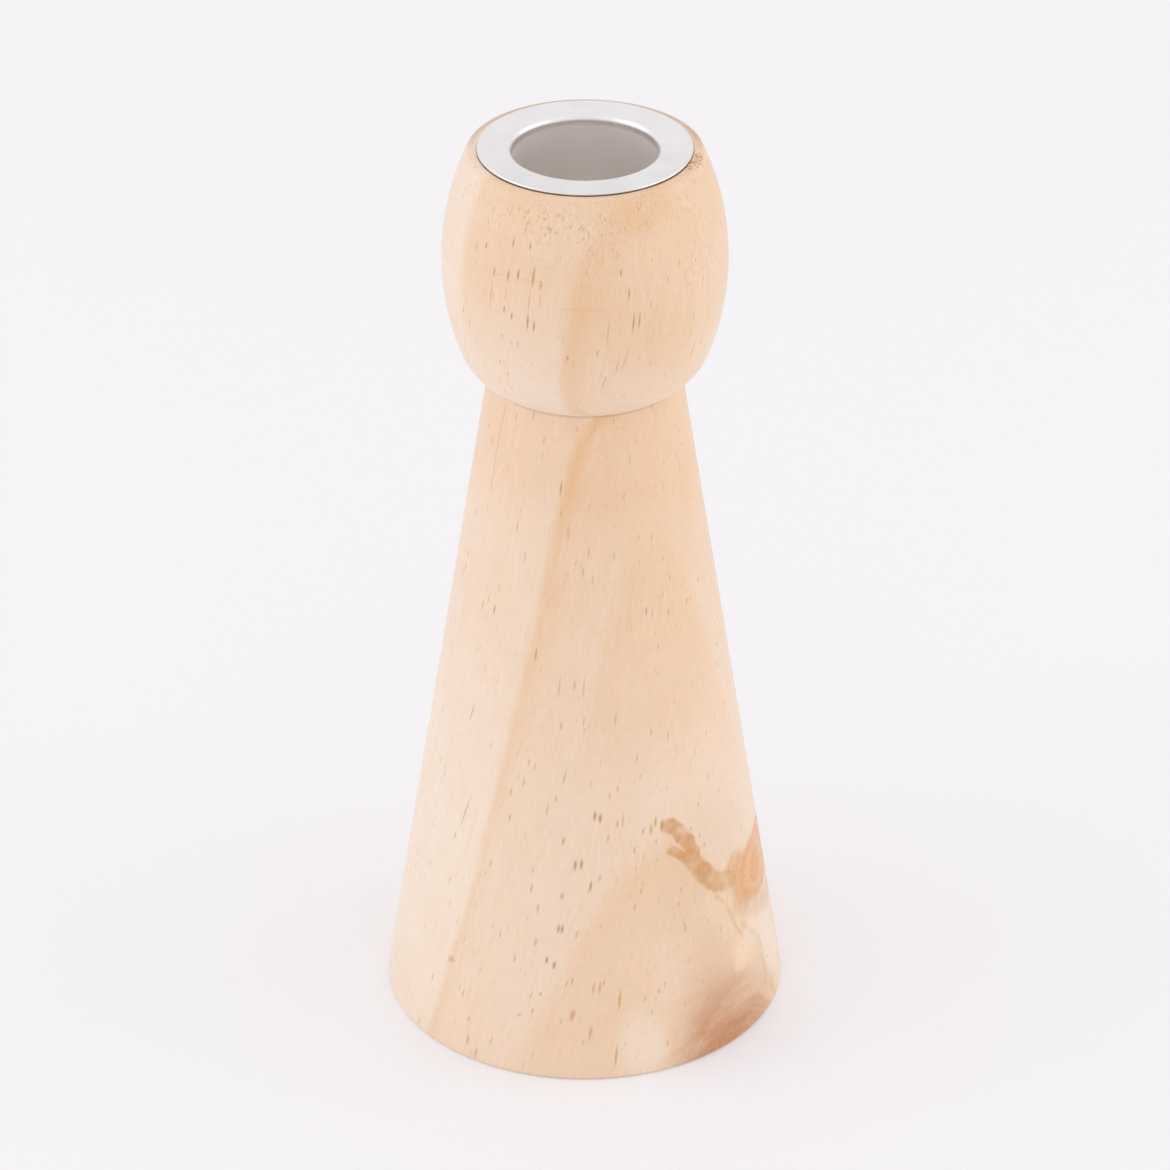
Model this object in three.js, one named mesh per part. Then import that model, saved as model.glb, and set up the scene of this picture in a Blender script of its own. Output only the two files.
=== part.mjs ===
// A turned softwood candle holder with a pressed metal candle cup in its top.
// Millimetres, +Z up. The origin is the centre of the base, on the surface that the holder stands on.

import * as THREE from 'three';

// Candle cup, pressed from one sheet. Bend radii are those of the bend's inside.
const CANDLE_DIAMETER = 22;
const CANDLE_CLEARANCE = 0.25;
const SHEET_THICKNESS = 0.5;
const CUP_DEPTH = 20;
const FLANGE_WIDTH = 4.75;
const LIP_BEND = 0.9;
const FLOOR_BEND = 1.5;

// Turned body: a cone from the base up to the neck, and a barrel-shaped head above it.
const BODY_HEIGHT = 150;
const BASE_DIAMETER = 65.3;
const BASE_ROUND = 0.6;
const HEAD_HEIGHT = 38;
const HEAD_SWELL = 4.1;
const WIDEST_DROP = 18.3;
const UNDER_ROUND = 9.4;
const UNDER_SLOPE = THREE.MathUtils.degToRad(28);
const RIM_WIDTH = 1.5;
const RIM_ROUND = 0.5;

// Fit of the cup in the drilled socket.
const SOCKET_CLEARANCE = 0.3;
const SOCKET_FLOOR_GAP = 1;

// Facets of the turned shapes.
const SIDES = 64;
const BARREL_STEPS = 14;
const UNDER_STEPS = 6;
const BEND_STEPS = 4;

// Quarter turns in the plane of a profile, where x is the radius and y is the height.
const RIGHT = 0;
const UP = Math.PI / 2;
const LEFT = Math.PI;
const DOWN = -Math.PI / 2;

const cupInnerRadius = CANDLE_DIAMETER / 2 + CANDLE_CLEARANCE;
const cupOuterRadius = cupInnerRadius + SHEET_THICKNESS;
const flangeRadius = cupOuterRadius + FLANGE_WIDTH;
const flangeTop = BODY_HEIGHT + SHEET_THICKNESS;
const cupFloor = flangeTop - CUP_DEPTH;
const cupUnderside = cupFloor - SHEET_THICKNESS;

const point = (radius, height) => new THREE.Vector2(radius, height);

function arc(centre, radius, from, to, steps) {
  const clockwise = to < from;
  const curve = new THREE.EllipseCurve(centre.x, centre.y, radius, radius, from, to, clockwise);
  return curve.getPoints(steps);
}

// Centre of a round that touches a larger circle from the inside, at a given height.
function roundInside(circle, radius, height) {
  const reach = circle.radius - radius;
  const rise = height - circle.centre.y;
  return point(circle.centre.x + Math.sqrt(reach ** 2 - rise ** 2), height);
}

const bearing = (from, to) => Math.atan2(to.y - from.y, to.x - from.x);

// A profile runs from the axis outwards, up the outside and back to the axis.
function turned(name, profile, material) {
  const geometry = new THREE.LatheGeometry(profile, SIDES);
  geometry.rotateX(Math.PI / 2);
  const mesh = new THREE.Mesh(geometry, material);
  mesh.name = name;
  return mesh;
}

// The barrel is an arc through the rim that stands upright at the head's widest level.
function headProfile(neckHeight) {
  const rimRadius = flangeRadius + RIM_WIDTH;
  const radius = (HEAD_SWELL ** 2 + WIDEST_DROP ** 2) / (2 * HEAD_SWELL);
  const centre = point(rimRadius + HEAD_SWELL - radius, BODY_HEIGHT - WIDEST_DROP);
  const barrel = { centre, radius };
  const under = roundInside(barrel, UNDER_ROUND, neckHeight + UNDER_ROUND * Math.cos(UNDER_SLOPE));
  const rim = roundInside(barrel, RIM_ROUND, BODY_HEIGHT - RIM_ROUND);
  const barrelStart = bearing(centre, under);
  const barrelEnd = bearing(centre, rim);
  return [
    ...arc(under, UNDER_ROUND, DOWN + UNDER_SLOPE, barrelStart, UNDER_STEPS),
    ...arc(centre, radius, barrelStart, barrelEnd, BARREL_STEPS).slice(1),
    ...arc(rim, RIM_ROUND, barrelEnd, UP, BEND_STEPS).slice(1),
  ];
}

// The base's arris is a round between the flat underside and the leaning wall of the cone.
function baseProfile(neck) {
  const baseRadius = BASE_DIAMETER / 2;
  const lean = Math.atan2(baseRadius - neck.x, neck.y);
  const inset = BASE_ROUND * (1 + Math.sin(lean)) / Math.cos(lean);
  return arc(point(baseRadius - inset, BASE_ROUND), BASE_ROUND, DOWN, lean, BEND_STEPS);
}

// The socket clears the cup's wall and floor, and its chamfered mouth clears the bend under the flange.
function socketProfile() {
  const radius = cupOuterRadius + SOCKET_CLEARANCE;
  const chamfer = LIP_BEND + SOCKET_CLEARANCE;
  const floor = cupUnderside - SOCKET_FLOOR_GAP;
  return [
    point(radius + chamfer, BODY_HEIGHT),
    point(radius, BODY_HEIGHT - chamfer),
    point(radius, floor),
    point(0, floor),
  ];
}

function turnedBody() {
  const head = headProfile(BODY_HEIGHT - HEAD_HEIGHT);
  const profile = [point(0, 0), ...baseProfile(head[0]), ...head, ...socketProfile()];
  const softwood = new THREE.MeshStandardMaterial({ color: 0xeccfb2, roughness: 0.6, metalness: 0 });
  return turned('turned_body', profile, softwood);
}

// The flange lies on the flat top of the body and carries the cup, which hangs clear in its socket.
function candleCup() {
  const lip = point(cupOuterRadius + LIP_BEND, BODY_HEIGHT - LIP_BEND);
  const corner = point(cupInnerRadius - FLOOR_BEND, cupFloor + FLOOR_BEND);
  const profile = [
    point(0, cupUnderside),
    ...arc(corner, FLOOR_BEND + SHEET_THICKNESS, DOWN, RIGHT, BEND_STEPS),
    ...arc(lip, LIP_BEND, LEFT, UP, BEND_STEPS),
    point(flangeRadius, BODY_HEIGHT),
    point(flangeRadius, flangeTop),
    ...arc(lip, LIP_BEND + SHEET_THICKNESS, UP, LEFT, BEND_STEPS),
    ...arc(corner, FLOOR_BEND, RIGHT, DOWN, BEND_STEPS),
    point(0, cupFloor),
  ];
  const aluminium = new THREE.MeshStandardMaterial({ color: 0xd9d7d9, roughness: 0.35, metalness: 1 });
  return turned('candle_cup', profile, aluminium);
}

const candleHolder = new THREE.Group();
candleHolder.name = 'candle_holder';
candleHolder.add(turnedBody(), candleCup());

export default candleHolder;
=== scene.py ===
"""The finished look of a turned softwood candle holder and its pressed metal cup."""

import math

import bmesh
import bpy
from bpy.props import FloatProperty, FloatVectorProperty, IntProperty, PointerProperty
from mathutils import Color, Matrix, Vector, noise


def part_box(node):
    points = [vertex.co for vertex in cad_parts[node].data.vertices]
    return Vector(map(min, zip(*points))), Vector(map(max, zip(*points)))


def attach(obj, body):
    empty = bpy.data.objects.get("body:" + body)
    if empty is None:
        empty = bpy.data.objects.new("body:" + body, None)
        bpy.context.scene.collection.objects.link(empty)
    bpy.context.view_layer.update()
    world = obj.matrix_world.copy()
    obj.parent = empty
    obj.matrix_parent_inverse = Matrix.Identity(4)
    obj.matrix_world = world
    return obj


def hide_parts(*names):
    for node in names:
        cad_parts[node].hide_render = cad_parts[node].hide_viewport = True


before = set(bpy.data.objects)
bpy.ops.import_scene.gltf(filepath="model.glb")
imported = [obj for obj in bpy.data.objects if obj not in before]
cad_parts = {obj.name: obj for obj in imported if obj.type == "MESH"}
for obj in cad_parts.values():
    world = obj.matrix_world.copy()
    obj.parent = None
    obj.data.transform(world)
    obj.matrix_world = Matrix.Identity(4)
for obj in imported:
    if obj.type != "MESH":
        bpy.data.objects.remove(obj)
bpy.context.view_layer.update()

bl_info = {
    "name": "Turned Candle Holder",
    "version": (1, 0, 0),
    "blender": (4, 5, 0),
    "location": "View3D > Sidebar > Candle Holder",
    "description": "Dresses a turned wooden candle holder and its pressed metal cup",
    "category": "Add Mesh",
}

BODY_NODE = "turned_body"
CUP_NODE = "candle_cup"
BODY_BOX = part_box(BODY_NODE)
CUP_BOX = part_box(CUP_NODE)

MILLIMETRE = 0.001

# Directions in a profile, whose first number is a radius and whose second is a height.
RIGHT = 0.0
UP = math.pi / 2
LEFT = math.pi
DOWN = -math.pi / 2

# Turned meshes: what counts as a point on the axis, the bend that stays sharp, and how far the wood
# runs out of true, in millimetres, and in how many waves per metre.
ON_AXIS = 1e-9
SHARP_BEND = math.radians(40)
RUN_OUT = 0.03
RUN_OUT_WAVES = 60

# Stage, in metres, with the camera's sensor in millimetres.
LEFT_SOFTBOX = (-0.85, -0.15, 0.45)
RIGHT_SOFTBOX = (0.9, -0.05, 0.3)
SOFTBOX_SIZE = 0.9
FLOOR_RADIUS = 6.0
FLOOR_SIDES = 96
SENSOR_WIDTH = 36
PAPER_GLOW = 0.22


# Settings

def length(name, description, default):
    """A size in metres."""
    return FloatProperty(
        name=name, description=description, default=default, min=0.0, unit="LENGTH", precision=5
    )


def share(name, description, default):
    """A number from 0 to 1."""
    return FloatProperty(
        name=name, description=description, default=default, min=0.0, max=1.0, subtype="FACTOR"
    )


def tint(name, description, red, green, blue):
    """A colour written as it shows on a screen, from 0 to 255."""
    shown = tuple(channel / 255 for channel in (red, green, blue))
    return FloatVectorProperty(
        name=name, description=description, default=shown, size=3, min=0.0, max=1.0, subtype="COLOR_GAMMA"
    )


class TurnedBodySizes(bpy.types.PropertyGroup):
    """Sizes of the wooden body."""

    height: length("Height", "From the surface it stands on to its flat top", BODY_BOX[1].z)
    base_diameter: length("Base Diameter", "Across the cone where it meets the base", 0.0653)
    base_round: length("Base Round", "Radius of the base's arris", 0.0006)
    head_height: length("Head Height", "From the neck to the flat top", 0.038)
    head_swell: length("Head Swell", "How far the barrel stands out past its rim", 0.0041)
    widest_drop: length("Widest Drop", "From the flat top down to the head's widest level", 0.0183)
    under_round: length("Under Round", "Radius that turns the head in to the neck", 0.0094)
    under_slope: FloatProperty(
        name="Under Slope", description="Slope of the head where it meets the neck",
        default=math.radians(28), subtype="ANGLE",
    )
    rim_width: length("Rim Width", "Wood that shows round the cup's flange", 0.0015)
    rim_round: length("Rim Round", "Radius of the rim's outer edge", 0.0005)
    socket_radius: length("Socket Radius", "Radius of the drilled socket", 0.01205)
    socket_chamfer: length("Socket Chamfer", "Chamfer of the socket's mouth", 0.0012)
    socket_gap: length("Socket Gap", "Room under the cup in its socket", 0.001)
    sides: IntProperty(name="Sides", description="Facets round the body", default=224, min=32)


class CandleCupSizes(bpy.types.PropertyGroup):
    """Sizes of the metal cup."""

    flange_radius: length("Flange Radius", "Radius of the flat flange", CUP_BOX[1].x)
    flange_top: length("Flange Top", "Height of the flange's top", CUP_BOX[1].z)
    underside: length("Underside", "Height of the cup's underside", CUP_BOX[0].z)
    bore_radius: length("Bore Radius", "Radius inside the cup", 0.01125)
    sheet: length("Sheet", "Thickness of the metal", 0.0005)
    lip_bend: length("Lip Bend", "Inside radius of the bend under the flange", 0.0006)
    floor_bend: length("Floor Bend", "Inside radius of the bend into the floor", 0.0015)
    edge_round: length("Edge Round", "Radius of the flange's worn edge", 0.00024)
    sides: IntProperty(name="Sides", description="Facets round the cup", default=192, min=32)


class SoftwoodLook(bpy.types.PropertyGroup):
    """Colours of the wood."""

    earlywood: tint("Earlywood", "Pale wood of a ring's fast growth", 246, 228, 210)
    latewood: tint("Latewood", "Tan wood that ends a ring", 235, 187, 135)
    fleck: tint("Fleck", "Resin canals cut open by the turning", 167, 110, 60)
    resin: tint("Resin", "Yellow resin left in a few canals", 196, 160, 84)
    rust: tint("Rust", "Red stain in a few canals", 198, 108, 66)
    knot: tint("Knot", "Brown arm of the knot", 214, 160, 106)
    eye: tint("Eye", "Orange wood of the knot's eye", 228, 168, 112)
    eye_ring: tint("Eye Ring", "Lighter ring inside the eye", 240, 194, 150)
    heart: tint("Heart", "Deep orange at the middle of the eye", 230, 160, 98)
    stem: tint("Stem", "Thin line below the knot's arm", 196, 160, 116)
    wedge: tint("Wedge", "Green-yellow wood beside the stem", 232, 209, 168)
    pale_streak: tint("Pale Streak", "Nearly white wood below the knot", 247, 229, 210)
    pale_spot: tint("Pale Spot", "Yellow wood beside that streak", 247, 216, 182)
    brown_foot: tint("Brown Foot", "Brown wood where the knot meets the base", 198, 141, 99)
    dusk: tint("Dusk", "Duller wood round the knot", 214, 185, 154)
    # The dark brown of the painted shade in the seam under the cup's flange, on the back of the rim and in
    # the crease.
    dust_and_painted_shade: tint("Dust", "Dark dust in the seam round the cup", 84, 58, 44)
    roughness: share("Roughness", "Dullness of sanded wood", 0.5)
    sheen: share("Sheen", "Light caught by raised fibres", 0.5)


class AluminiumLook(bpy.types.PropertyGroup):
    """Finish of the metal."""

    metal: tint("Metal", "Colour of the satin flange", 245, 242, 242)
    wall: tint("Wall", "Colour of the drawn wall", 242, 237, 233)
    roughness: share("Roughness", "Dullness of the pressed sheet", 0.34)
    wall_dulls: share("Wall Dulls", "How much duller the drawn wall is", 0.26)


class StageLook(bpy.types.PropertyGroup):
    """Floor, light and camera."""

    backdrop: tint("Backdrop", "Pale floor and background", 247, 246, 248)
    ambient: FloatProperty(name="Ambient", description="Light from all round", default=0.963, min=0)
    key_power: FloatProperty(
        name="Key", description="Power of the left softbox", default=1.4, min=0, unit="POWER"
    )
    fill_power: FloatProperty(
        name="Fill", description="Power of the right softbox", default=1.6, min=0, unit="POWER"
    )
    lens: FloatProperty(name="Lens", description="Focal length in millimetres", default=162.8, min=1)
    distance: length("Distance", "From the camera to the point it looks at", 0.8428)
    target_height: length("Target Height", "Height of that point on the axis", 0.0733)
    elevation: FloatProperty(
        name="Elevation", description="Camera's angle above the horizon",
        default=math.radians(30.21), subtype="ANGLE",
    )


# Turned shapes

def arc(centre, radius, start, end, steps):
    """Points of an arc in the plane of a profile, both ends included."""
    angles = [start + (end - start) * i / steps for i in range(steps + 1)]
    return [(centre[0] + radius * math.cos(a), centre[1] + radius * math.sin(a)) for a in angles]


def line(start, end, steps):
    """Points from start to end, with neither end."""
    shares = [i / steps for i in range(1, steps)]
    return [(start[0] + (end[0] - start[0]) * t, start[1] + (end[1] - start[1]) * t) for t in shares]


def round_inside(circle_centre, circle_radius, radius, height):
    """Centre of a round that touches a larger circle from the inside, at a given height."""
    reach = circle_radius - radius
    rise = height - circle_centre[1]
    return circle_centre[0] + math.sqrt(reach ** 2 - rise ** 2), height


def bearing(start, end):
    """The direction from start to end in a profile."""
    return math.atan2(end[1] - start[1], end[0] - start[0])


def revolve(name, profile, sides, wander=None):
    """A closed mesh turned about Z from a profile of radius and height that starts and ends on the axis."""
    shape = bmesh.new()
    rings = []
    for radius, height in profile:
        if radius < ON_AXIS:
            rings.append([shape.verts.new((0, 0, height))])
            continue
        ring = []
        for i in range(sides):
            angle = 2 * math.pi * i / sides
            spot = Vector((radius * math.cos(angle), radius * math.sin(angle), height))
            ring.append(shape.verts.new(wander(spot) if wander else spot))
        rings.append(ring)
    for lower, upper in zip(rings, rings[1:]):
        for i in range(sides):
            j = (i + 1) % sides
            corners = [lower[i % len(lower)], lower[j % len(lower)]]
            corners += [upper[j % len(upper)], upper[i % len(upper)]]
            shape.faces.new(dict.fromkeys(corners))
    mesh = bpy.data.meshes.new(name)
    shape.to_mesh(mesh)
    shape.free()
    mesh.shade_smooth()
    mesh.set_sharp_from_angle(angle=SHARP_BEND)
    piece = bpy.data.objects.new(name, mesh)
    bpy.context.scene.collection.objects.link(piece)
    return piece


def body_profile(body, cup):
    """The body's outside from the centre of its base over the head and down into the socket."""
    neck_height = body.height - body.head_height
    rim_radius = cup.flange_radius + body.rim_width
    radius = (body.head_swell ** 2 + body.widest_drop ** 2) / (2 * body.head_swell)
    centre = (rim_radius + body.head_swell - radius, body.height - body.widest_drop)
    under_height = neck_height + body.under_round * math.cos(body.under_slope)
    under = round_inside(centre, radius, body.under_round, under_height)
    rim = round_inside(centre, radius, body.rim_round, body.height - body.rim_round)
    head = arc(under, body.under_round, DOWN + body.under_slope, bearing(centre, under), 18)
    head += arc(centre, radius, bearing(centre, under), bearing(centre, rim), 56)[1:]
    head += arc(rim, body.rim_round, bearing(centre, rim), UP, 8)[1:]
    neck = head[0]
    base_radius = body.base_diameter / 2
    lean = math.atan2(base_radius - neck[0], neck[1])
    inset = body.base_round * (1 + math.sin(lean)) / math.cos(lean)
    foot = arc((base_radius - inset, body.base_round), body.base_round, DOWN, lean, 8)
    underside = [(0, 0), *line((0, 0), foot[0], 10)]
    mouth = body.socket_radius + body.socket_chamfer
    floor = cup.underside - body.socket_gap
    socket = [
        (mouth, body.height),
        (body.socket_radius, body.height - body.socket_chamfer),
        (body.socket_radius, floor),
        (0, floor),
    ]
    return [*underside, *foot, *line(foot[-1], neck, 80), *head, *socket]


def cup_profile(cup):
    """The cup's section, from the centre of its underside up the outside and back down the inside."""
    flange_under = cup.flange_top - cup.sheet
    outer_radius = cup.bore_radius + cup.sheet
    lip = (outer_radius + cup.lip_bend, flange_under - cup.lip_bend)
    corner = (cup.bore_radius - cup.floor_bend, cup.underside + cup.sheet + cup.floor_bend)
    edge = cup.flange_radius - cup.edge_round
    return [
        (0, cup.underside),
        *arc(corner, cup.floor_bend + cup.sheet, DOWN, RIGHT, 10),
        *arc(lip, cup.lip_bend, LEFT, UP, 10),
        *arc((edge, flange_under + cup.edge_round), cup.edge_round, DOWN, RIGHT, 4),
        *arc((edge, cup.flange_top - cup.edge_round), cup.edge_round, RIGHT, UP, 4),
        *line((edge, cup.flange_top), (lip[0], cup.flange_top), 5),
        *arc(lip, cup.lip_bend + cup.sheet, UP, LEFT, 14),
        *line((cup.bore_radius, lip[1]), (cup.bore_radius, corner[1]), 6),
        *arc(corner, cup.floor_bend, RIGHT, DOWN, 10),
        (0, cup.underside + cup.sheet),
    ]


# Materials

def linear(colour):
    """A screen colour as the light that a shader works in."""
    return (*Color(colour).from_srgb_to_scene_linear(), 1.0)


class Wire:
    """One output of a material's nodes. Sums on it add Math nodes, or Vector Math nodes for a vector."""

    def __init__(self, finish, socket):
        self.finish = finish
        self.socket = socket

    def reckon(self, operation, *terms, output=0):
        vectors = [t for t in terms if isinstance(t, tuple)]
        vectors += [t for t in terms if isinstance(t, Wire) and t.socket.type != "VALUE"]
        kind = "ShaderNodeVectorMath" if vectors else "ShaderNodeMath"
        return self.finish.node(kind, {"operation": operation}, dict(enumerate(terms)), output)

    def __add__(self, other):
        return self.reckon("ADD", self, other)

    __radd__ = __add__

    def __sub__(self, other):
        return self.reckon("SUBTRACT", self, other)

    def __rsub__(self, other):
        return self.reckon("SUBTRACT", other, self)

    def __mul__(self, other):
        return self.reckon("MULTIPLY", self, other)

    __rmul__ = __mul__

    def __truediv__(self, other):
        return self.reckon("DIVIDE", self, other)

    def __neg__(self):
        return self * -1

    def exp(self):
        return self.reckon("EXPONENT", self)

    def fraction(self):
        return self.reckon("FRACT", self)

    def smaller(self, other):
        return self.reckon("MINIMUM", self, other)

    def larger(self, other):
        return self.reckon("MAXIMUM", self, other)

    def length(self):
        return self.reckon("LENGTH", self, output="Value")

    def along(self, direction):
        return self.reckon("DOT_PRODUCT", self, direction, output="Value")

    def lengthen(self, direction):
        """A direction made as many times longer as this value says."""
        return self.finish.node("ShaderNodeVectorMath", {"operation": "SCALE"}, {0: direction, "Scale": self})

    def rise(self, low, high):
        """A smooth step from 0 at low to 1 at high, or down again where high is below low."""
        ends = {"Value": self, "From Min": low, "From Max": high}
        return self.finish.node("ShaderNodeMapRange", {"interpolation_type": "SMOOTHSTEP"}, ends)


class Finish:
    """The nodes of a material or of the world, put together one by one."""

    def __init__(self, owner):
        owner.use_nodes = True
        self.owner = owner
        self.tree = owner.node_tree
        self.tree.nodes.clear()

    @staticmethod
    def socket(sockets, key):
        if isinstance(key, int):
            return sockets[key]
        return next(s for s in sockets if key in (s.identifier, s.name))

    def node(self, kind, settings=None, inputs=None, output=0):
        """Adds a node and gives its output, or several outputs where a tuple of them is asked for."""
        made = self.tree.nodes.new(kind)
        for name, value in (settings or {}).items():
            setattr(made, name, value)
        for key, value in (inputs or {}).items():
            socket = self.socket(made.inputs, key)
            if isinstance(value, Wire):
                self.tree.links.new(value.socket, socket)
            elif socket.type == "VECTOR" and not isinstance(value, tuple):
                socket.default_value = (value, value, value)
            else:
                socket.default_value = value
        if isinstance(output, tuple):
            return tuple(Wire(self, self.socket(made.outputs, key)) for key in output)
        return Wire(self, self.socket(made.outputs, output))

    def place(self):
        """The point on the piece, in millimetres."""
        return self.node("ShaderNodeTexCoord", output="Object") / MILLIMETRE

    def split(self, vector):
        return self.node("ShaderNodeSeparateXYZ", None, {"Vector": vector}, ("X", "Y", "Z"))

    def join(self, x, y, z):
        return self.node("ShaderNodeCombineXYZ", None, {"X": x, "Y": y, "Z": z})

    def noise(self, vector, size, detail=2.0, roughness=0.5):
        """Soft noise about 0, from -1 to 1, whose waves have that size in millimetres along each axis."""
        scale = tuple(1 / s for s in size)
        settings = {"noise_dimensions": "3D"}
        inputs = {"Vector": vector * scale, "Scale": 1.0, "Detail": detail, "Roughness": roughness}
        return self.node("ShaderNodeTexNoise", settings, inputs, "Fac") * 2 - 1

    def mix(self, low, high, factor):
        """A colour between low and high."""
        ends = {"Factor_Float": factor, "A_Color": low, "B_Color": high}
        return self.node("ShaderNodeMix", {"data_type": "RGBA"}, ends, "Result_Color")

    def bump(self, height, depth):
        """A normal from a height between 0 and 1 that stands for a depth in millimetres."""
        return self.node("ShaderNodeBump", None, {"Height": height, "Distance": depth * MILLIMETRE}, "Normal")

    def surface(self, **sockets):
        """The shader that all the rest feeds. A socket's name is written with _ for each space."""
        named = {key.replace("_", " "): value for key, value in sockets.items()}
        shader = self.node("ShaderNodeBsdfPrincipled", None, named)
        self.node("ShaderNodeOutputMaterial", None, {"Surface": shader}, ())
        return self.owner


# Grain of the blank, in millimetres. Its growth rings face to the front right, and bend back near the base
# and the head.
RING_FACES = math.radians(30)
ACROSS_RINGS = (math.sin(RING_FACES), -math.cos(RING_FACES), 0.0)
ALONG_RINGS = (math.cos(RING_FACES), math.sin(RING_FACES), 0.0)
RING_PLACE = 12.6
SECOND_RING = 12.6
THIRD_RING = 16.0
BACK_SPACING = 7.1
RING_EDGE = 0.7
LATE_BAND = 1.9
LOW_BEND_FROM = 84.0
LOW_BEND = 8.4
HIGH_BEND = 5.2
FIBRE_LEAN = 0.248
FIBRE_STRAIGHTENS = 0.00056

# Marks are placed by azimuth from the front, in degrees to the right, and height in millimetres,
# on the surface laid flat at this radius.
FLAT_RADIUS = 25.0

# Single flecks: azimuth, height, length and width. The first are clear.
BROWN_FLECKS = (
    # The cluster on the left of the head
    (-39, 137.6, 1.8, 0.42),
    (-32.1, 137.8, 2.2, 0.5),
    (-27.6, 138.3, 2.2, 0.5),
    (-21, 138.4, 3.6, 0.5),
    (-33.5, 132.1, 1.4, 0.42),
    (-30, 131.3, 1.6, 0.44),
    (-23, 131, 3.0, 0.48),
    (-20.4, 130.4, 2.2, 0.44),
    (-44.8, 141.1, 1.2, 0.46),
    (-31.3, 142.9, 1.6, 0.36),
    (-23.4, 142.9, 1.2, 0.42),
    # The right of the head
    (14.5, 139.4, 1.2, 0.36),
    (17.6, 135.9, 2.2, 0.34),
    (19.3, 131, 4.0, 0.38),
    (21.8, 131.2, 3.0, 0.38),
    # Up the cone
    (-12.6, 100.2, 2.6, 0.5),
    (-43.8, 77.5, 2.0, 0.42),
    (28, 79, 1.8, 0.36),
    # Round the foot
    (3.5, 45.9, 1.8, 0.62),
    (5.4, 45.5, 1.8, 0.66),
    (27.8, 42.5, 2.2, 0.58),
    (-3.3, 37.5, 2.1, 0.58),
    (-1.2, 37.7, 2.1, 0.56),
    (1.9, 33.9, 2.2, 0.42),
    (-8.5, 26.4, 1.8, 0.46),
    (-7.3, 26.4, 1.7, 0.54),
    (-12, 20.8, 1.4, 0.54),
    (-9.6, 20, 1.7, 0.56),
)
FAINT_FLECKS = (
    # Trails below the cluster on the head, and flecks round it
    (-40, 133.8, 5.6, 0.3),
    (-32.9, 134.8, 3.4, 0.26),
    (-22.4, 134.4, 4.5, 0.26),
    (-17.9, 134.8, 3.0, 0.22),
    (-53.5, 127, 1.3, 0.42),
    (-34.9, 127.4, 1.1, 0.42),
    (-27.7, 126.6, 1.2, 0.42),
    (-37.7, 122.3, 1.1, 0.42),
    (-34.6, 120.3, 0.9, 0.5),
    (9.1, 130, 4.6, 0.3),
    (5, 126.3, 1.6, 0.42),
    (41.4, 138.8, 1.6, 0.36),
    (35, 136.9, 1.4, 0.34),
    (50.8, 122.5, 4.0, 0.3),
    # Up the cone
    (-31.1, 111, 2.0, 0.46),
    (25.1, 104.4, 1.8, 0.42),
    (47, 101.9, 1.4, 0.38),
    (-8.4, 93.4, 2.0, 0.42),
    (-35.3, 92.5, 2.0, 0.4),
    (33.9, 90.6, 1.4, 0.38),
    (1.8, 89.8, 2.2, 0.42),
    (13.9, 89, 2.2, 0.4),
    (-1, 86.6, 1.8, 0.42),
    (3.5, 85.3, 1.8, 0.38),
    (37.3, 80.9, 1.4, 0.38),
    (-48, 78.8, 2.0, 0.42),
    (39.5, 77.5, 1.4, 0.38),
    (-4.3, 67.8, 2.0, 0.46),
    (-0.5, 67.5, 4.0, 0.36),
    (-10.5, 67.5, 4.0, 0.34),
    (12, 61.9, 2.0, 0.44),
    (-9.3, 61, 1.8, 0.44),
    (-0.5, 61.9, 1.8, 0.38),
    (26.4, 58.8, 1.6, 0.42),
    (33.5, 57.3, 1.6, 0.4),
    (20, 55, 1.6, 0.38),
    (-29.5, 88.1, 2.8, 0.34),
    (31, 78.4, 1.8, 0.36),
    # Round the foot
    (-21.4, 54.1, 1.6, 0.42),
    (-23, 50.5, 1.8, 0.5),
    (-10.5, 48.7, 1.6, 0.46),
    (-27.8, 48.3, 1.6, 0.44),
    (-13.6, 46.6, 2.4, 0.42),
    (13.5, 44.7, 2.6, 0.42),
    (-27.5, 44, 1.6, 0.5),
    (8.1, 42.1, 1.8, 0.42),
    (5, 35.3, 1.5, 0.42),
    (-33.6, 35.2, 1.8, 0.42),
    (-18, 32.8, 2.2, 0.44),
    (18.8, 32.2, 1.0, 0.5),
    (-15.5, 29.5, 2.0, 0.4),
    (16.4, 29.6, 1.6, 0.4),
    (-2.7, 25.5, 1.8, 0.42),
    (33.7, 23.8, 1.4, 0.46),
    (-22.4, 20, 1.6, 0.42),
    (2.6, 16.2, 2.4, 0.44),
    (4.5, 16.2, 2.4, 0.48),
    (-15.9, 11.6, 1.2, 0.5),
    (1.6, 8.4, 3.0, 0.6),
    (12, 50.3, 1.6, 0.38),
    (11.5, 44.3, 1.5, 0.5),
    (20.7, 42.3, 1.4, 0.54),
    (17.2, 39.4, 1.3, 0.46),
    (-15.8, 23.6, 1.5, 0.5),
    (22.9, 14.2, 1.0, 0.46),
    (-13.6, 14.7, 1.0, 0.5),
    (-19.9, 10.5, 0.8, 0.56),
    (-45.5, 15.8, 1.3, 1.4),
    (-36.5, 7, 1.2, 0.5),
    (-36.2, 3.4, 2.4, 0.5),
    (-33, 1.6, 2.2, 0.5),
    (39.7, 40.2, 1.0, 0.46),
    (43.2, 38.4, 1.0, 0.5),
    (45, 36.4, 1.0, 0.5),
    (44.3, 43.6, 1.0, 0.5),
    (51, 47.3, 1.2, 0.5),
)
SLANTED_FLECKS = (
    (16.6, 125, 5.4, 0.26),
    (13.3, 123.8, 3.0, 0.3),
    (8, 120.8, 2.6, 0.34),
    (-49.5, 59, 3.6, 0.38),
    (-7.5, 52.4, 3.2, 0.34),
    (-46.8, 42, 6.8, 0.38),
)
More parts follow.
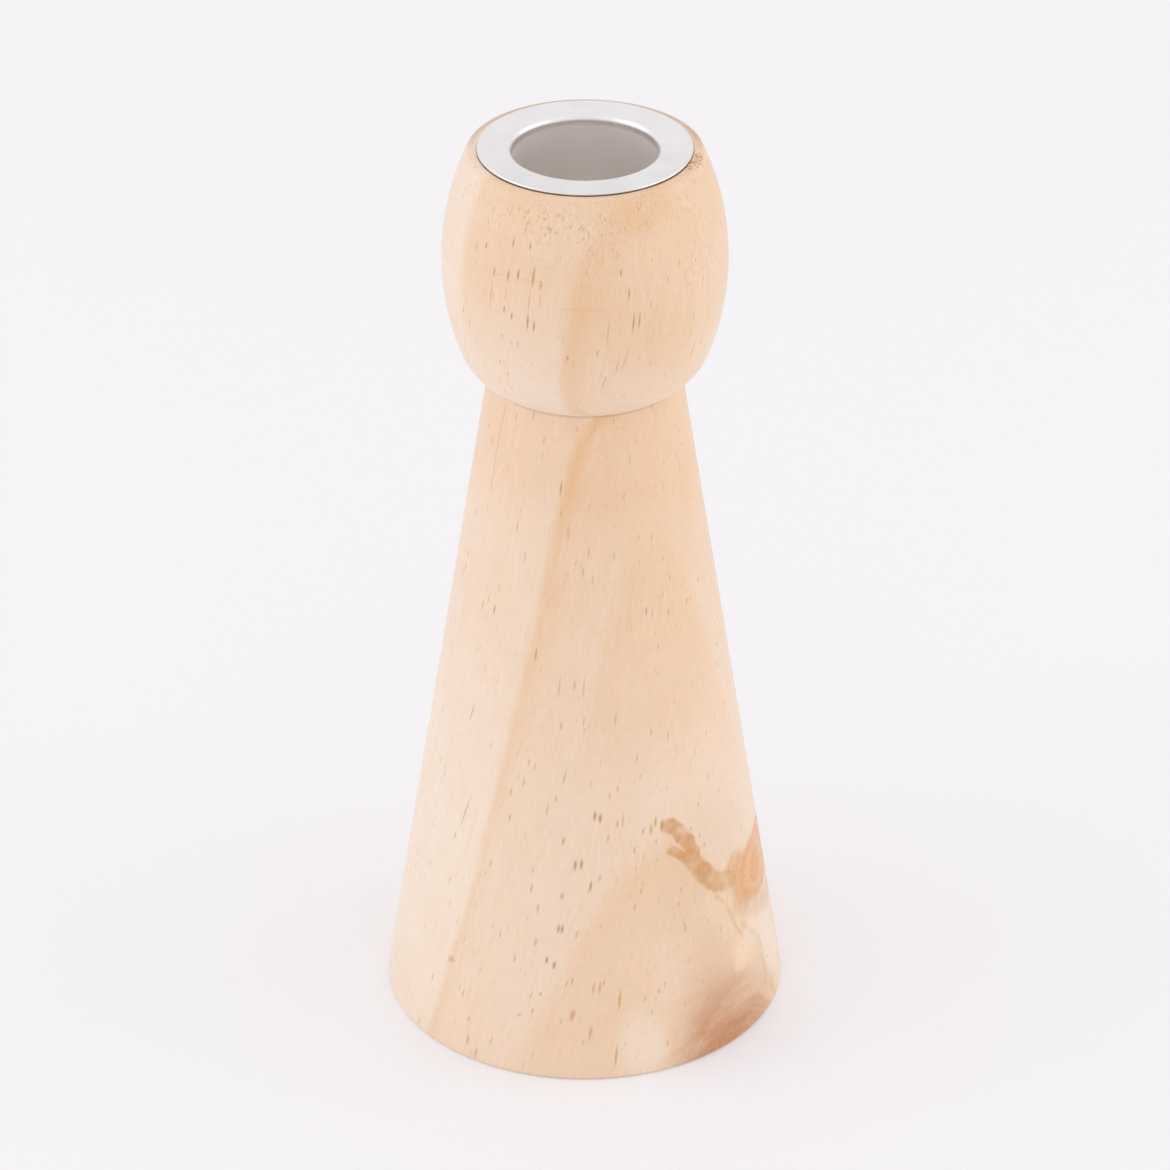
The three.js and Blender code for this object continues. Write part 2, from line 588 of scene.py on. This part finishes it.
YELLOW_FLECKS = (
    (-17.8, 137.3, 1.6, 0.56),
    (23.7, 42.3, 2.2, 0.6),
    (25.6, 43.4, 2.0, 0.6),
    (28.6, 42.9, 1.6, 0.5),
    (-7.5, 41.5, 1.7, 0.6),
    (10.5, 13.9, 3.8, 0.5),
    (9, 4.1, 4.0, 0.42),
)
RED_FLECKS = (
    (-7.1, 125.4, 1.2, 0.6),
    (-21.1, 72.3, 2.6, 0.6),
    (-7.6, 32.1, 1.4, 0.62),
    (-3.8, 11.4, 2.4, 0.76),
)
FLECK_LEAN = 0.1
SLANTED_LEAN = 0.24

# A fine crack on the left of the cone, and fine lines that the turning tool left on the head.
CRACK = ((-53, 111), (-54.2, 107.5), (-55.3, 105), (-56.2, 102), (-55.8, 99.5), (-56.6, 96))
TOOL_LINES = (((-39, 137.4), (-28, 137.7), (-17, 137.9)), ((-9, 133.8), (8, 133.8)))

# The knot low on the right: its forked arm, its eye, the line below and the pale and brown wood round it.
ARM = ((38.5, 35.2), (43, 32.1), (46.5, 29.8), (50, 28.5), (55.6, 27.8))
UPPER_FORK = ((31, 42.3), (34.2, 41), (37.6, 38.7), (39.8, 36))
LOWER_FORK = ((31.2, 37.7), (34, 36.5), (37.5, 34.8))
ARM_WIDTHS = ((ARM, 1.6), (UPPER_FORK, 1.25), (LOWER_FORK, 0.85))
ARM_FADES = (45, 51)
EYE = ((81, 25.5), (24, 5.5))
EYE_SHOULDER = ((60.2, 28.6), (6.4, 3.2))
EYE_HEART = ((74.5, 25.2), (6.5, 3.0))
COLLAR = ((60, 22.2), (66, 20.4), (72, 18.8), (80, 17.2), (91, 17.4), (101, 19.6))
COLLAR_FADES = (84, 104)
STEM = ((47.8, 26.6), (52, 24.2), (54.3, 21), (55.6, 18.8), (57.8, 17))
PALE_STEM = ((46, 25.5), (51, 23.4), (54.5, 19.5))
STREAK_EDGE = ((59.5, 18.4), (63, 16.5), (67, 14), (68.3, 11), (70, 7.4), (74, 2))
GREEN_WEDGE = ((54.8, 22), (58, 20), (61, 18.4))
PALE_STREAK = ((67, 17.6), (73, 13.5), (78, 7))
PALE_SPOT = ((58, 14), (6.5, 3.6))
BROWN_FOOT = ((50.5, 0), (23.7, 11.5))
FOOT_HAZE = ((43.3, 4), (16.6, 16))
FOOT_GAP = ((49.5, 6.8), (14.9, 3.2))
FOOT_ARCH = ((52, -8), (30, 18))
DUSK = ((48, 30), (30, 18))

# Ovals where the blank is paler or darker than round them.
PALE_FOOT = ((17, 6), (11, 8))
DARK_CHEEK = ((36, 128), (12, 7))
TAN_SHOULDER = ((25, 148.5), (23, 4.5))

# Dark painted shade in the seam under the cup's flange, torn grain on the rim beside it, and painted shade
# on the back of the rim behind the flange, by radius and height in millimetres.
SEAM_INSIDE = 15.9
SEAM_OUTSIDE = 16.66
SEAM_HEIGHTS = (148.6, 149.4)
TORN_RIM = ((75, 150), (12, 0.4))
TORN_RADII = (16.2, 16.7)
BACK_RIM_RADII = (16.9, 17.3)
BACK_RIM_HEIGHTS = (149.2, 149.6)

# Where the cup's flange gives way to its duller wall, by height in millimetres.
WALL_HEIGHTS = (149.2, 148.4)

# Shaded crease where the head meets the cone, and the speckled shoulder above, by height in millimetres,
# with the two patches that have the most specks.
CREASE = 112.0
SPECKLES_FROM = 138.0
SPECKLES_FULL = 144.0
SPECKLED_PATCHES = (((-14, 146.4), (38, 3.6)), ((54, 137), (14, 4.5)))


def flat(azimuth, height):
    """A mark's place on the surface laid flat."""
    return math.radians(azimuth) * FLAT_RADIUS, height, 0.0


def stroke(point, corners):
    """Distance in millimetres from a line through corners on the surface laid flat."""
    nearest = None
    spots = [Vector(flat(*corner)) for corner in corners]
    for start, end in zip(spots, spots[1:]):
        run = end - start
        offset = point - tuple(start)
        share = offset.along(tuple(run / run.length_squared)).larger(0).smaller(1)
        reach = (offset - share.lengthen(tuple(run))).length()
        nearest = nearest.smaller(reach) if nearest else reach
    return nearest


def oval(point, centre, radii):
    """1 on the rim of an oval on the surface laid flat, and less inside it."""
    across, up, _ = flat(*radii)
    return ((point - flat(*centre)) * (1 / across, 1 / up, 0.0)).length()


def grain(finish, place, fibre, laid, y, z):
    """How far the wood has darkened from earlywood, at 0, to latewood, at 1, and its strands."""
    sway = finish.noise(fibre, (16, 16, 70)) * 0.9 + finish.noise(fibre, (2.0, 2.0, 22), 3.0) * 0.45
    low = (1 - z / LOW_BEND_FROM).larger(0)
    high = z.rise(102, 134)
    across = place.along(ACROSS_RINGS) + sway
    aside = place.along(ALONG_RINGS)
    ring = across + low * low * LOW_BEND - high * HIGH_BEND - RING_PLACE

    # The ring on the front starts sharply with a dark band and bends away on the right.
    near = ring + aside.larger(0) * 0.5
    width = 3.4 - z.rise(76, 92) * 0.9 - z.rise(98, 108) * 0.9 + z.rise(112, 118) * 1.2
    band = 0.15 + z.rise(88, 98) * 0.14 - z.rise(112, 116) * 0.1 - z.rise(134, 146) * 0.14
    band = near.rise(width, width * 0.2) * band
    inner = 0.2 - z.rise(96, 106) * 0.1 + z.rise(112, 118) * 0.13 - z.rise(124, 140) * 0.16
    front = (band + inner) * near.rise(-RING_EDGE, RING_EDGE)
    # The next two are cut flat, and show as a tall arch on the cone and another at the foot.
    second = ring + aside.larger(0) * 0.12 + z * 0.075 - SECOND_RING
    second = second.rise(-RING_EDGE, RING_EDGE) * 0.18 - (second.smaller(0) / 1.5).exp() * 0.08
    second = second * z.rise(48, 60) * z.rise(99, 91)
    third = ring - THIRD_RING
    under_arm = (laid.along((1.35, 1.0, 0.0)) - 59.7).rise(3, -1) * (1 - z.rise(9, 2) * 0.4)
    dark = (-third.larger(0) / LATE_BAND).exp() * 0.05 + 0.16 + z.rise(16, 34) * 0.1
    third = third.rise(-1.2, 1.2) * dark * under_arm
    # At the back the rings follow each other evenly.
    turn = (ring / BACK_SPACING).fraction()
    back = (1 - turn).larger(turn.rise(0.88, 1.0)) * y.rise(0, 14) * 0.35
    # The blank's colour drifts along its length and is pale on both sides of the head. The step at the neck
    # is painted:
    # the top of the cone is darker, partly painted shade under the head, and the head's underside is paler,
    # painted light.
    drift_and_painted_light = z.rise(35, 90) * 0.23 + z.rise(88, 104) * 0.17
    # Painted light: paler on the head's underside, just above the neck.
    drift_and_painted_light = drift_and_painted_light - z.rise(110.5, 116) * 0.31 + z.rise(116, 139) * 0.34
    drift_and_painted_light = drift_and_painted_light + z.rise(20, 0) * 0.05 - across.rise(1.9, -0.6) * z.rise(122, 134) * 0.34
    drift_and_painted_light = drift_and_painted_light - aside.rise(5, 9) * z.rise(116, 121) * z.rise(142, 136) * 0.09
    drift_and_painted_light = drift_and_painted_light + oval(laid, *DARK_CHEEK).rise(1.15, 0.85) * 0.05
    drift_and_painted_light = drift_and_painted_light + oval(laid, *TAN_SHOULDER).rise(1.1, 0.5) * 0.13
    drift_and_painted_light = drift_and_painted_light - oval(laid, *PALE_FOOT).rise(1.0, 0.3) * 0.28
    patches = finish.noise(place, (7, 7, 12), 1.0).rise(-0.3, 0.3)
    strands = finish.noise(fibre, (0.7, 0.7, 9), 3.0, 0.65) * patches
    clouds = finish.noise(place, (8, 8, 14), 2.0)
    return front + second + third + back + drift_and_painted_light + 0.105 + strands * 0.3 + clouds * 0.12, strands


def resin_flecks(finish, place, fibre):
    """1 on resin canals that the turning cut open, as dashes along the fibres."""
    cells = {"Vector": fibre * (1 / 0.85, 1 / 0.85, 1 / 4.6), "Scale": 1.0, "Randomness": 1.0}
    settings = {"voronoi_dimensions": "3D"}
    reach, chance = finish.node("ShaderNodeTexVoronoi", settings, cells, ("Distance", "Color"))
    pick, strength, _ = finish.split(chance)
    crowd = finish.noise(place, (12, 12, 20), 1.0)
    shown = (pick + crowd * 0.6).rise(0.38, 0.5)
    return reach.rise(0.26, 0.05) * shown * (strength * strength * 0.75 + 0.2)


def single_flecks(finish, laid, z, flecks, lean=FLECK_LEAN):
    """1 on single flecks, which lean to the right."""
    leaning = laid - finish.join(z * lean, 0.0, 0.0)
    nearest = None
    for azimuth, height, long, wide in flecks:
        across, up, _ = flat(azimuth, height)
        reach = ((leaning - (across - height * lean, up, 0.0)) * (2 / wide, 2 / long, 0.0)).length()
        nearest = nearest.smaller(reach) if nearest else reach
    return nearest.rise(1.3, 0.2)


def brown_foot(finish, look, colour, laid, azimuth, clouds, spot):
    """The wood's colour with the knot's brown foot, drawn out in arches and kept off one spot."""
    arch = oval(laid, *FOOT_ARCH) * FOOT_ARCH[1][1]
    bands = finish.noise(finish.join(arch + clouds * 1.5, azimuth, 0.0), (1.9, 26.0, 1.0), 2.0)
    drawn = laid + finish.join(clouds * 2.4, bands * 1.5, 0.0)
    foot = oval(drawn, *BROWN_FOOT).rise(1.3, 0.5)
    haze = oval(drawn, *FOOT_HAZE).rise(1.3, 0.3)
    gap = oval(drawn, *FOOT_GAP).rise(1.2, 0.2)
    depth = haze * 0.39 + foot * 0.6 - gap * 0.37 + (bands * 0.5 + clouds * 0.25) * foot
    return finish.mix(colour, linear(look.brown_foot), depth * (1 - spot))


def knot_eye(finish, look, colour, laid, point, mottle):
    """The wood's colour with the knot's eye, its rings and its heart."""
    raised = finish.join(laid.along((0.6, 1.0, 0.0)), laid.along((-1.0, 0.6, 0.0)), 0.0)
    streaks = finish.noise(raised, (1.2, 6.0, 1.0))
    reach = oval(point, *EYE)
    eye = reach.rise(1.15, 0.82).larger(oval(point, *EYE_SHOULDER).rise(1.2, 0.7) * 0.85)
    colour = finish.mix(colour, linear(look.eye), eye * (0.94 + mottle * 0.3 + streaks * 0.4))
    colour = finish.mix(colour, linear(look.knot), reach.rise(0.7, 0.9) * reach.rise(1.1, 0.95) * 0.3)
    heart = oval(point, *EYE_HEART)
    colour = finish.mix(colour, linear(look.eye_ring), heart.rise(0.8, 1.0) * heart.rise(1.4, 1.1) * 0.4)
    rings = (heart * 1.3 + mottle * 0.35).fraction()
    ringed = rings.rise(0.55, 0.9) * heart.rise(1.2, 1.7) * eye * 0.5
    colour = finish.mix(colour, linear(look.eye_ring), ringed)
    return finish.mix(colour, linear(look.heart), heart.rise(1.0, 0.6) * (0.6 + streaks * 0.5))


def knotted(finish, look, colour, place, laid):
    """The wood's colour with the knot low on the right painted in."""
    azimuth = laid.along((1 / flat(1.0, 0.0)[0], 0.0, 0.0))
    sway = finish.noise(place, (4, 4, 4), 2.0) * 0.7
    sway_up = finish.noise(place + (31.0, 7.0, 3.0), (4, 4, 4), 2.0) * 0.7
    ragged = finish.noise(place, (1.3, 1.3, 1.3), 2.0) * 0.5
    point = laid + finish.join(sway + ragged, sway_up - ragged, 0.0)
    clouds = finish.noise(place, (5, 5, 3), 2.0)
    mottle = finish.noise(place, (2.2, 2.2, 2.2), 2.0)

    spot = oval(point, *PALE_SPOT).rise(1.2, 0.3)
    colour = finish.mix(colour, linear(look.dusk), oval(laid, *DUSK).rise(1.1, 0.4) * 0.2)
    colour = brown_foot(finish, look, colour, laid, azimuth, clouds, spot)
    colour = finish.mix(colour, linear(look.pale_spot), spot * 0.8)
    pale = stroke(point, PALE_STREAK).rise(4.0, 2.4)
    colour = finish.mix(colour, linear(look.pale_streak), pale * 0.55)
    glow = stroke(point, PALE_STEM).rise(3.6, 0.8)
    colour = finish.mix(colour, linear(look.pale_spot), glow * 0.4)
    wedge = stroke(point, GREEN_WEDGE).rise(1.9, 0.5)
    colour = finish.mix(colour, linear(look.wedge), wedge * 0.5)
    stem = stroke(point, STEM).rise(0.6, 0.1) * (0.3 + mottle * 0.5)
    stem = stem.larger(stroke(point, STREAK_EDGE).rise(1.3, 0.1) * (0.24 + mottle * 0.4))
    colour = finish.mix(colour, linear(look.stem), stem)
    collar = stroke(point, COLLAR).rise(3.0, 0.4) * (0.42 + mottle * 0.25)
    collar = collar * (1 - azimuth.rise(*COLLAR_FADES))
    colour = finish.mix(colour, linear(look.knot), collar)

    colour = knot_eye(finish, look, colour, laid, point, mottle)
    arm = None
    for corners, wide in ARM_WIDTHS:
        limb = stroke(point, corners).rise(wide + 0.35, wide - 0.35)
        arm = arm.larger(limb) if arm else limb
    arm = arm * (0.9 - azimuth.rise(*ARM_FADES) * 0.5 + mottle * 0.7 + clouds * 0.2)
    return finish.mix(colour, linear(look.knot), arm)


def shoulder_specks(finish, place, fibre, laid, z):
    """Specks of the shoulder, dark above 0 and pale below it, and how strongly they show at a place."""
    patchy = finish.noise(place + (0.0, 40.0, 0.0), (6, 6, 5), 1.0).rise(-0.15, 0.35)
    patchy = patchy * z.rise(SPECKLES_FROM, SPECKLES_FULL) * 0.5
    for patch in SPECKLED_PATCHES:
        patchy = patchy.larger(oval(laid, *patch).rise(1.1, 0.4) * 0.75)
    return finish.noise(fibre, (0.4, 0.4, 1.3), 1.0), patchy


def flecked(finish, look, colour, marks, strands, laid, z):
    """The wood's colour with other marks, its single flecks, its crack and its tool lines."""
    crack = stroke(laid + finish.join(strands * 0.5, 0.0, 0.0), CRACK).rise(0.28, 0.06) * 0.4
    brown = marks.larger(single_flecks(finish, laid, z, BROWN_FLECKS)).larger(crack)
    brown = brown.larger(single_flecks(finish, laid, z, FAINT_FLECKS) * 0.56)
    brown = brown.larger(single_flecks(finish, laid, z, SLANTED_FLECKS, SLANTED_LEAN) * 0.62)
    for tool_line in TOOL_LINES:
        brown = brown.larger(stroke(laid, tool_line).rise(0.2, 0.05) * 0.16)
    colour = finish.mix(colour, linear(look.fleck), brown * 0.66)
    colour = finish.mix(colour, linear(look.resin), single_flecks(finish, laid, z, YELLOW_FLECKS) * 0.7)
    return finish.mix(colour, linear(look.rust), single_flecks(finish, laid, z, RED_FLECKS) * 0.5)


def torn_rim_and_painted_shade(finish, look, colour, place, laid):
    """The wood's colour with torn grain on the rim, and painted shade in the seam under the flange, on the
    back of the rim and in the crease.
    """
    x, y, z = finish.split(place)
    radius = finish.join(x, y, 0.0).length()
    mottle = finish.noise(place, (3, 3, 3), 2.0)
    torn = oval(laid, *TORN_RIM).rise(1.0, 0.6) * finish.noise(place, (0.45, 0.45, 0.45), 1.0).rise(-0.1, 0.3)
    torn = torn * radius.rise(*TORN_RADII)
    # The seam, the back of the rim and the crease are painted shade: the gap under the flange, darker at the
    # front, the rim behind the flange, and the crease under the head.
    seam = radius.rise(SEAM_INSIDE - 0.1, SEAM_INSIDE) * radius.rise(SEAM_OUTSIDE, SEAM_OUTSIDE - 0.08)
    seam = seam * z.rise(*SEAM_HEIGHTS) * (y.rise(4, -11) * 0.5 + 0.46 + mottle * 0.3)
    crease = z.rise(CREASE - 0.5, CREASE - 0.15) * z.rise(CREASE + 0.12, CREASE) * 0.2
    back_rim = radius.rise(*BACK_RIM_RADII) * z.rise(*BACK_RIM_HEIGHTS) * y.rise(-2, 6) * 0.3
    colour = finish.mix(colour, linear(look.fleck), torn * 0.8)
    return finish.mix(colour, linear(look.dust_and_painted_shade), seam.larger(back_rim).larger(crease) * 0.9)


def lean_at(height):
    """How far the fibres have leant over at a height, in millimetres."""
    return height * FIBRE_LEAN - height * height * FIBRE_STRAIGHTENS


def softwood(look):
    """Pale, fast-grown softwood, sanded and left bare, cut from one leaning blank."""
    finish = Finish(bpy.data.materials.new("softwood"))
    place = finish.place()
    x, y, z = finish.split(place)
    fibre = finish.join(x - lean_at(z), y, z)
    around = finish.node("ShaderNodeMath", {"operation": "ARCTAN2"}, {0: x, 1: -y})
    laid = finish.join(around * FLAT_RADIUS, z, 0.0)

    tone, strands = grain(finish, place, fibre, laid, y, z)
    turning = finish.noise(finish.join(around * 3.0, 0.0, z), (6.0, 1.0, 0.45), 2.0)
    tone = tone + turning * 0.09
    colour = finish.mix(linear(look.earlywood), linear(look.latewood), tone)
    colour = knotted(finish, look, colour, place, laid)

    pores = finish.noise(fibre, (0.3, 0.3, 1.6), 2.0, 0.6)
    colour = finish.mix(colour, linear(look.fleck), pores.rise(0.05, 0.6) * 0.09)
    colour = finish.mix(colour, linear(look.pale_streak), pores.rise(-0.05, -0.6) * 0.25)
    specks, patchy = shoulder_specks(finish, place, fibre, laid, z)
    colour = finish.mix(colour, linear(look.pale_streak), specks.rise(-0.15, -0.45) * patchy * 0.6)
    canals = resin_flecks(finish, place, fibre) * (y.rise(-20, -8) * 0.5 + z.rise(60, 30) * 0.35 + 0.5)
    marks = canals.larger(specks.rise(0.15, 0.45) * patchy * 0.7)
    colour = flecked(finish, look, colour, marks, strands, laid, z)
    colour = torn_rim_and_painted_shade(finish, look, colour, place, laid)

    relief = strands * 0.25 + turning * 0.18 + pores * 0.15 - canals * 0.5
    rough = strands * 0.06 + look.roughness
    return finish.surface(
        Base_Color=colour,
        Roughness=rough,
        Normal=finish.bump(relief, 0.04),
        IOR=1.45,
        Sheen_Weight=look.sheen,
        Sheen_Roughness=0.35,
        Sheen_Tint=(1.0, 0.94, 0.88, 1.0),
    )


def satin_aluminium(look):
    """Pressed sheet with fine spin marks on its flange and draw marks down its duller wall."""
    finish = Finish(bpy.data.materials.new("satin_aluminium"))
    place = finish.place()
    x, y, z = finish.split(place)
    radius = finish.join(x, y, 0.0).length()
    spin = finish.noise(finish.join(radius, 0.0, z * 0.2), (0.16, 0.16, 0.16), 2.0)
    draw = finish.noise(place, (0.5, 0.5, 9), 2.0)
    bloom = finish.noise(place, (6, 6, 6), 2.0)
    dust_and_painted_shade = finish.noise(place, (0.35, 0.35, 0.35), 1.0).rise(0.45, 0.7)
    dulled_and_shaded = linear(tuple(channel * 0.93 for channel in look.metal))
    wall = z.rise(*WALL_HEIGHTS)
    # Patches, specks of dust, and painted shade that darkens the flange towards the front.
    colour = finish.mix(linear(look.metal), dulled_and_shaded, bloom * 0.5 + dust_and_painted_shade * 0.3 + y.rise(4, -14) * 0.3 + 0.25)
    colour = finish.mix(colour, linear(look.wall), wall)
    rough = look.roughness + wall * look.wall_dulls + spin * 0.05 + bloom * 0.05 + draw * 0.04
    relief = spin * 0.5 + draw * 0.5
    return finish.surface(Base_Color=colour, Metallic=1.0, Roughness=rough, Normal=finish.bump(relief, 0.006))


# Operators

class CANDLEHOLDER_OT_turned_body(bpy.types.Operator):
    """Turn the wooden body and give it its grain"""

    bl_idname = "candle_holder.turned_body"
    bl_label = "Turned Body"

    def execute(self, context):
        scene = context.scene
        body = scene.turned_body_sizes

        def wander(spot):
            """A point of the turned surface, a few hundredths of a millimetre out of true."""
            slow = noise.noise(spot * RUN_OUT_WAVES)
            return spot + Vector((spot.x, spot.y, 0)).normalized() * slow * RUN_OUT * MILLIMETRE

        piece = revolve("softwood_body", body_profile(body, scene.candle_cup_sizes), body.sides, wander)
        piece.data.materials.append(softwood(scene.softwood_look))
        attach(piece, "holder")
        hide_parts(BODY_NODE)
        return {"FINISHED"}


class CANDLEHOLDER_OT_candle_cup(bpy.types.Operator):
    """Press the metal cup that holds the candle"""

    bl_idname = "candle_holder.candle_cup"
    bl_label = "Candle Cup"

    def execute(self, context):
        scene = context.scene
        cup = scene.candle_cup_sizes
        piece = revolve("pressed_cup", cup_profile(cup), cup.sides)
        piece.data.materials.append(satin_aluminium(scene.aluminium_look))
        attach(piece, "cup")
        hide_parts(CUP_NODE)
        return {"FINISHED"}


def softbox(name, place, target, size, power):
    """A square soft light aimed at a point."""
    light = bpy.data.lights.new(name, "AREA")
    light.shape = "SQUARE"
    light.size = size
    light.energy = power
    lamp = bpy.data.objects.new(name, light)
    lamp.location = place
    lamp.rotation_mode = "QUATERNION"
    lamp.rotation_quaternion = (Vector(target) - Vector(place)).to_track_quat("-Z", "Y")
    bpy.context.scene.collection.objects.link(lamp)
    return lamp


def seen_directly(finish):
    """1 for a ray that shows the background itself, in the picture, in metal or in glass."""
    camera, glossy, through = finish.node(
        "ShaderNodeLightPath", output=("Is Camera Ray", "Is Glossy Ray", "Is Transmission Ray")
    )
    return camera.larger(glossy).larger(through)


def floor_paper(look):
    """Pale paper that shows the backdrop's colour and keeps a soft shadow."""
    finish = Finish(bpy.data.materials.new("floor_paper"))
    colour = linear(look.backdrop)
    paper = finish.node("ShaderNodeBsdfDiffuse", None, {"Color": colour})
    glow = finish.node("ShaderNodeEmission", None, {"Color": colour, "Strength": 1.0})
    blend = {0: seen_directly(finish) * PAPER_GLOW, 1: paper, 2: glow}
    surface = finish.node("ShaderNodeMixShader", None, blend)
    finish.node("ShaderNodeOutputMaterial", None, {"Surface": surface}, ())
    return finish.owner


class CANDLEHOLDER_OT_stage(bpy.types.Operator):
    """Set up the pale floor, the soft light and the camera"""

    bl_idname = "candle_holder.stage"
    bl_label = "Stage"

    def execute(self, context):
        scene = context.scene
        look = scene.stage_look
        self.floor(look)
        self.world(scene, look)
        target = (0, 0, look.target_height)
        softbox("left_softbox", LEFT_SOFTBOX, target, SOFTBOX_SIZE, look.key_power)
        softbox("right_softbox", RIGHT_SOFTBOX, target, SOFTBOX_SIZE, look.fill_power)
        self.camera(scene, look)
        scene.view_settings.view_transform = "Standard"
        return {"FINISHED"}

    def floor(self, look):
        mesh = bpy.data.meshes.new("floor")
        shape = bmesh.new()
        bmesh.ops.create_circle(shape, cap_ends=True, segments=FLOOR_SIDES, radius=FLOOR_RADIUS)
        shape.to_mesh(mesh)
        shape.free()
        floor = bpy.data.objects.new("floor", mesh)
        mesh.materials.append(floor_paper(look))
        bpy.context.scene.collection.objects.link(floor)

    def world(self, scene, look):
        scene.world = bpy.data.worlds.new("soft_surround")
        finish = Finish(scene.world)
        level = seen_directly(finish) * (1 - look.ambient) + look.ambient
        light = finish.node("ShaderNodeBackground", None, {"Color": linear(look.backdrop), "Strength": level})
        finish.node("ShaderNodeOutputWorld", None, {"Surface": light}, ())

    def camera(self, scene, look):
        lens = bpy.data.cameras.new("camera")
        lens.lens = look.lens
        lens.sensor_width = SENSOR_WIDTH
        camera = bpy.data.objects.new("camera", lens)
        back = Vector((0, -math.cos(look.elevation), math.sin(look.elevation)))
        camera.location = Vector((0, 0, look.target_height)) + back * look.distance
        camera.rotation_mode = "QUATERNION"
        camera.rotation_quaternion = (-back).to_track_quat("-Z", "Y")
        scene.collection.objects.link(camera)
        scene.camera = camera


class VIEW3D_PT_candle_holder(bpy.types.Panel):
    """Lists the pieces and the stage."""

    bl_label = "Candle Holder"
    bl_space_type = "VIEW_3D"
    bl_region_type = "UI"
    bl_category = "Candle Holder"

    def draw(self, context):
        for operator in OPERATORS:
            self.layout.operator(operator.bl_idname)
        for name in SETTINGS:
            box = self.layout.box()
            group = getattr(context.scene, name)
            for prop in group.__annotations__:
                box.prop(group, prop)


OPERATORS = (CANDLEHOLDER_OT_turned_body, CANDLEHOLDER_OT_candle_cup, CANDLEHOLDER_OT_stage)
SETTINGS = {
    "turned_body_sizes": TurnedBodySizes,
    "candle_cup_sizes": CandleCupSizes,
    "softwood_look": SoftwoodLook,
    "aluminium_look": AluminiumLook,
    "stage_look": StageLook,
}


def register():
    for made in (*SETTINGS.values(), *OPERATORS, VIEW3D_PT_candle_holder):
        bpy.utils.register_class(made)
    for name, group in SETTINGS.items():
        setattr(bpy.types.Scene, name, PointerProperty(type=group))


def unregister():
    for name in SETTINGS:
        delattr(bpy.types.Scene, name)
    for made in (VIEW3D_PT_candle_holder, *OPERATORS, *SETTINGS.values()):
        bpy.utils.unregister_class(made)


def main():
    register()
    bpy.ops.candle_holder.stage()
    bpy.ops.candle_holder.turned_body()
    bpy.ops.candle_holder.candle_cup()


if __name__ == "__main__":
    main()
